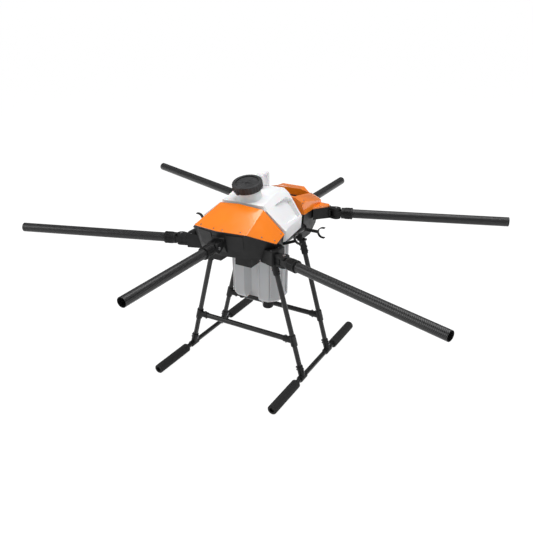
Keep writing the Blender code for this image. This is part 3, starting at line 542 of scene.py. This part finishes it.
# Cable slots in the rear tub's sides.
for side_name, side in SIDES.items():
    frame_low = (min(side * 0.1530, side * 0.1672), 0.196, 0.638)
    frame_high = (max(side * 0.1530, side * 0.1672), 0.228, 0.660)
    hole_low = (min(side * 0.1620, side * 0.1700), 0.199, 0.641)
    hole_high = (max(side * 0.1620, side * 0.1700), 0.225, 0.657)
    bezel = carved(slab(frame_low, frame_high), slab(hole_low, hole_high))
    piece(f"cable_slot_{side_name}", bezel, rubber, "airframe", 0.0006)

# --------------------------------------------------------------------------- tank
DECK_BREAK_Y, DECK_SLOPE = -0.040, 0.2272
TILT = Matrix.Rotation(math.radians(12.8), 4, "X")
AT_DECK = Matrix.Translation((0.0, DECK_BREAK_Y, 0.8000)) @ TILT
AT_NECK = Matrix.Translation((0.0, -0.0975, 0.8057)) @ TILT \
    @ Matrix.Translation((0.0, 0.0, -0.8000))
WALL_RINGS = {"upper": [(0.6380, 0.1960, 0.1760, -0.1460, 0.0540, 0.012),
                        (0.6900, 0.1990, 0.1790, -0.1480, 0.0560, 0.012),
                        (0.7840, 0.1120, 0.1140, -0.1480, 0.0560, 0.010, DECK_SLOPE),
                        (0.8000, 0.0960, 0.0960, -0.1475, 0.0520, 0.010, DECK_SLOPE)],
              "lower": [(0.3000, 0.1120, 0.1120, -0.0800, 0.0520, 0.034),
                        (0.3120, 0.1200, 0.1200, -0.0880, 0.0600, 0.034),
                        (0.6480, 0.1260, 0.1260, -0.0900, 0.0620, 0.034)]}


def tank_section(z, x_front, x_rear, y_front, y_rear, chamfer, slope=0.0):
    x_break = x_front + (x_rear - x_front) * (DECK_BREAK_Y - y_front) / (y_rear - y_front)
    half = [(x_front - chamfer, y_front), (x_front, y_front + chamfer), (x_break, DECK_BREAK_Y),
            (x_rear, y_rear - chamfer), (x_rear - chamfer, y_rear)]
    ring = half + [(-x, y) for x, y in reversed(half)]
    return [(x, y, z + slope * min(0.0, y - DECK_BREAK_Y)) for x, y in ring]


def skinned(rings):
    """A closed mesh through mirrored rings that share one count."""
    bm = bmesh.new()
    loops = [[bm.verts.new(point) for point in ring] for ring in rings]
    for lower, upper in zip(loops, loops[1:]):
        for i in range(len(lower)):
            j = (i + 1) % len(lower)
            bm.faces.new((lower[i], lower[j], upper[j], upper[i]))
    for loop in (loops[0][::-1], loops[-1]):
        for i in range(len(loop) // 2 - 1):
            bm.faces.new((loop[i], loop[i + 1], loop[-i - 2], loop[-i - 1]))
    bmesh.ops.recalc_face_normals(bm, faces=bm.faces)
    return bm


def side_frame(side, low, high, back_low):
    """X along the tank's sloping side towards the tail, Y up the slope, Z outwards."""
    low, high, back_low = (Vector((side * x, y, z)) for x, y, z in (low, high, back_low))
    up = (high - low).normalized()
    along = (back_low - low)
    along = (along - up * along.dot(up)).normalized()
    out = along.cross(up)
    if out.x * side < 0:
        out = -out
    turn = Matrix((along, up, out)).transposed().to_4x4()
    return Matrix.Translation(low) @ turn


PANEL = [(-0.076, 0.008), (-0.076, 0.074), (-0.052, 0.108), (0.048, 0.113), (0.078, 0.092),
         (0.078, 0.008)]
tank_cuts, rims = [], []
for side in SIDES.values():
    slope = side_frame(side, (0.1884, -0.040, 0.690), (0.1131, -0.040, 0.784),
                       (0.179, 0.056, 0.690))
    front_slope = side_frame(side, (0.199, -0.148, 0.690), (0.112, -0.148, 0.7595),
                             (0.1884, -0.040, 0.690))
    tank_cuts.append(prism(PANEL, 0.0200, -0.0130, slope, taper=0.86))
    tank_cuts.append(prism([(-0.046, 0.652), (0.020, 0.652), (0.010, 0.676), (-0.034, 0.676)],
                           0.184, 0.230, Matrix(((0, 0, side, 0), (1, 0, 0, 0), (0, 1, 0, 0),
                                                 (0, 0, 0, 1)))))
    rims.append(prism([(0.000, -0.004), (0.015, -0.004), (0.015, 0.1118), (0.000, 0.1118)], -0.006,
                      0.0024, front_slope))
rims.append(prism([(-0.1000, -0.1105), (0.1000, -0.1105), (0.0985, -0.0960), (-0.0985, -0.0960)],
                  -0.0080, 0.0020, AT_DECK))
channel = prism([(-0.0370, -0.120), (-0.0370, -0.0885), (-0.0140, -0.0680), (0.0140, -0.0680),
                 (0.0370, -0.0885), (0.0370, -0.120)], 0.20, 0.630)
arch = bar((0.0, -0.12, 0.2960), (0.0, -0.055, 0.2960), 0.034, 32)
neck_base = lathe([(0.0, 0.7680), (0.0550, 0.7680), (0.0550, 0.7850), (0.0535, 0.7865),
                   (0.0, 0.7865)], 64, AT_NECK)
tank = carved(skinned([tank_section(*ring) for ring in WALL_RINGS["upper"]]),
              *tank_cuts, channel, arch,
              join=[skinned([tank_section(*ring) for ring in WALL_RINGS["lower"]]), *rims,
                    neck_base])
piece("tank_moulding", tank, tank_white, "tank_unit", 0.0030, 3, replaces=("tank",), sharp=30)

# The neck is cut off below the threaded part so that its thread can be turned by itself.
thread = [(0.0495, 0.7855), (0.0522, 0.7855), (0.0522, 0.8090)]
for z in (0.8100, 0.8155):
    thread += [(0.0536, z), (0.0536, z + 0.0022), (0.0522, z + 0.0032)]
thread += [(0.0522, 0.8400), (0.0512, 0.8418), (0.0495, 0.8418)]
piece("tank_neck", lathe(thread, 64, AT_NECK), tank_white, "tank_unit")
refined("tank_handle", tank_white, 0.0028, segments=3)

# Ribs down the lower body and the short foot at its front.
ribs = [bar((side * 0.0965, -0.0862, 0.325), (side * 0.1005, -0.0868, 0.625), 0.0028, 12)
        for side in SIDES.values()]
ribs += [bar((side * 0.0400, -0.0875, 0.322), (side * 0.0400, -0.0895, 0.622), 0.0026, 12)
         for side in SIDES.values()]
ribs += [bar((side * 0.1222, y, 0.325), (side * 0.1262, y, 0.622), 0.0026, 12)
         for side in SIDES.values() for y in (-0.030, 0.010)]
piece("tank_ribs", merge(*ribs), tank_white, "tank_unit")
piece("tank_nub", lathe([(0.0, 0.284), (0.0070, 0.284), (0.0085, 0.2865), (0.0085, 0.304),
                         (0.0, 0.304)], 24, Matrix.Translation((0.046, -0.066, 0.0))), tank_white,
      "tank_unit")

refined("lid_gasket", rubber, 0.0003)
refined("filler_strainer", cap_plastic, 0.0004)
refined("tank_outlet", nylon, 0.0012)
refined("drain_plug", nylon, 0.0012)
outlet_ribs = [prism([(0.0232, -0.0012), (0.0248, -0.0008), (0.0248, 0.0008), (0.0232, 0.0012)],
                     0.2690, 0.2970, Matrix.Translation((0.062, -0.052, 0.0))
                     @ Matrix.Rotation(math.tau * i / 16, 4, "Z")) for i in range(16)]
piece("outlet_ribs", merge(*outlet_ribs), nylon, "tank_unit")

# --------------------------------------------------------------------------- filler cap
refined("filler_ring", cap_plastic, 0.0010)
refined("filler_lid", cap_plastic, 0.0008)
grips = [prism([(0.0617, -0.0020), (0.0643, -0.0012), (0.0643, 0.0012), (0.0617, 0.0020)],
               0.8245, 0.8505, AT_NECK @ Matrix.Rotation(math.tau * (i + 0.5) / 30, 4, "Z"))
         for i in range(30)]
piece("cap_grips", merge(*grips), cap_plastic, "cap_ring", 0.0004)
spokes = [prism([(0.0150, -0.0010), (0.0440, -0.0018), (0.0440, 0.0018), (0.0150, 0.0010)],
                0.8496, 0.8516, AT_NECK @ Matrix.Rotation(math.radians(-100 + 30 * i), 4, "Z"))
          for i in range(1, 12)]
piece("lid_spokes", merge(*spokes), cap_plastic, "lid", 0.0004)

# --------------------------------------------------------------------------- landing gear
SKID_X, SKID_Z, LEG_SLOPE = 0.296, 0.021, 0.2685
CROSSBAR_Z = 0.194
SLEEVE_FROM_R = {"crossbar": 0.0128, "leg": 0.0120, "skid": 0.0118}     # past it, nylon fittings
SOCKET_TOP_Z = 0.548
BOLT_REACH, BOLT_HEIGHTS = 0.0158, (0.508, 0.528, 0.052, 0.064)
TEE_BOLT_INBOARD, TEE_BOLT_REACH = 0.036, 0.0152
LEG_Y = {end: sum(corner.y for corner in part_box(f"leg_{end}_right")) / 2
         for end in ("front", "rear")}


def leg_point(side, y, z):
    return Vector((side * (SKID_X - LEG_SLOPE * (z - SKID_Z)), y, z))


def off_line(point, start, way):
    """A point's distance from a line."""
    return (point - start).cross(way.normalized()).length


bolts = []
for end, y in LEG_Y.items():
    cross_start, cross_way = Vector((0.0, y, CROSSBAR_Z)), Vector((1.0, 0.0, 0.0))
    refined(f"crossbar_{end}", gear_tube, 0.0007, second=nylon,
            is_second=lambda c, s=cross_start, w=cross_way:
            off_line(c, s, w) > SLEEVE_FROM_R["crossbar"])
    for side_name, side in SIDES.items():
        low, high = leg_point(side, y, 0.05), leg_point(side, y, 0.50)
        refined(f"leg_{end}_{side_name}", gear_tube, 0.0006, second=nylon,
                is_second=lambda c, s=low, w=high - low:
                off_line(c, s, w) > SLEEVE_FROM_R["leg"] or c.z > SOCKET_TOP_Z)
        across_leg = Vector((BOLT_REACH, 0, 0))
        for z in BOLT_HEIGHTS:
            spot = leg_point(side, y, z)
            bolts.append(hex_bolt(spot - across_leg, spot + across_leg))
        inboard = leg_point(side, y, CROSSBAR_Z) - Vector((side * TEE_BOLT_INBOARD, 0, 0))
        upward = Vector((0, 0, TEE_BOLT_REACH))
        bolts.append(hex_bolt(inboard - upward, inboard + upward))
piece("gear_bolts", merge(*bolts), steel, "airframe")

for side_name, side in SIDES.items():
    axis_start, axis_way = Vector((side * SKID_X, 0.0, SKID_Z)), Vector((0.0, 1.0, 0.0))
    refined(f"skid_{side_name}", gear_tube, 0.0006, second=nylon,
            is_second=lambda c, s=axis_start, w=axis_way: off_line(c, s, w) > SLEEVE_FROM_R["skid"])
    for end in LEG_Y:
        low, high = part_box(f"foam_foot_{end}_{side_name}")
        length, radius, bore = high.y - low.y, (high.x - low.x) / 2, 0.0116
        lip = [(radius - 0.0045 + 0.0045 * math.cos(a), 0.0045 - 0.0045 * math.sin(a))
               for a in (math.radians(90 - 18 * i) for i in range(6))]
        section = [(bore, 0.0)] + lip + [(r, length - h) for r, h in reversed(lip)] \
            + [(bore, length)]
        place = Matrix.Translation(((low.x + high.x) / 2, high.y, (low.z + high.z) / 2)) \
            @ Matrix.Rotation(math.radians(90), 4, "X")
        foot = piece(f"foam_foot_{end}_{side_name}_soft", lathe(section, 48, place), foam,
                     "airframe", replaces=(f"foam_foot_{end}_{side_name}",), sharp=40)

# --------------------------------------------------------------------------- stage
floor_mesh = bpy.data.meshes.new("floor")
HALF_FLOOR, FLOOR_Z = 400.0, -0.0006
floor_mesh.from_pydata([(x * HALF_FLOOR, y * HALF_FLOOR, FLOOR_Z)
                        for x, y in ((-1, -1), (1, -1), (1, 1), (-1, 1))], [], [(0, 1, 2, 3)])
floor = bpy.data.objects.new("floor", floor_mesh)
bpy.context.scene.collection.objects.link(floor)
floor_paint = Paint("pale_floor", None, (0.12, 0.12, 0.12), 0.9)
floor_paint.shader.inputs["Emission Color"].default_value = (1.0, 1.0, 1.0, 1.0)
floor_paint.shader.inputs["Emission Strength"].default_value = 0.97
floor_mesh.materials.append(floor_paint.material)

world = bpy.data.worlds.new("studio")
bpy.context.scene.world = world
world.use_nodes = True
world.node_tree.nodes["Background"].inputs["Color"].default_value = (1.0, 1.0, 1.0, 1.0)
world.node_tree.nodes["Background"].inputs["Strength"].default_value = 0.16


def softbox(name, at, target, size, power):
    light = bpy.data.lights.new(name, "AREA")
    light.shape, light.size, light.energy = "SQUARE", size, power
    obj = bpy.data.objects.new(name, light)
    obj.location = at
    way = Vector(target) - Vector(at)
    obj.rotation_mode = "QUATERNION"
    obj.rotation_quaternion = way.to_track_quat("-Z", "Y")
    bpy.context.scene.collection.objects.link(obj)


softbox("overhead", (0.3, 0.4, 3.6), (0, 0, 0.4), 3.0, 120.0)
softbox("front_left", (-2.4, -2.6, 2.2), (0, -0.1, 0.6), 2.2, 60.0)
softbox("right", (3.2, -0.6, 2.2), (0, 0, 0.6), 2.0, 12.0)

# --------------------------------------------------------------------------- camera
AZIMUTH, ELEVATION, ROLL = math.radians(31.09), math.radians(25.22), math.radians(-0.79)
DISTANCE, TARGET = 2.757, Vector((0.0, 0.0, 0.4))
PICTURE, FOCAL = 533.0, 601.0
backward = Vector((math.sin(AZIMUTH) * math.cos(ELEVATION),
                   -math.cos(AZIMUTH) * math.cos(ELEVATION), math.sin(ELEVATION)))
level = Vector((math.cos(AZIMUTH), math.sin(AZIMUTH), 0.0))
upward = level.cross(-backward)
right = level * math.cos(ROLL) + upward * math.sin(ROLL)
upward = -level * math.sin(ROLL) + upward * math.cos(ROLL)
camera = bpy.data.cameras.new("camera")
camera.sensor_width = 36.0
camera.lens = FOCAL / PICTURE * 36.0
camera.shift_x, camera.shift_y = 0.0088, 0.0105
camera_object = bpy.data.objects.new("camera", camera)
bpy.context.scene.collection.objects.link(camera_object)
camera_object.matrix_world = Matrix.Translation(TARGET + backward * DISTANCE) \
    @ Matrix((right, upward, backward)).transposed().to_4x4()
bpy.context.scene.camera = camera_object
bpy.context.scene.view_settings.view_transform = "Standard"
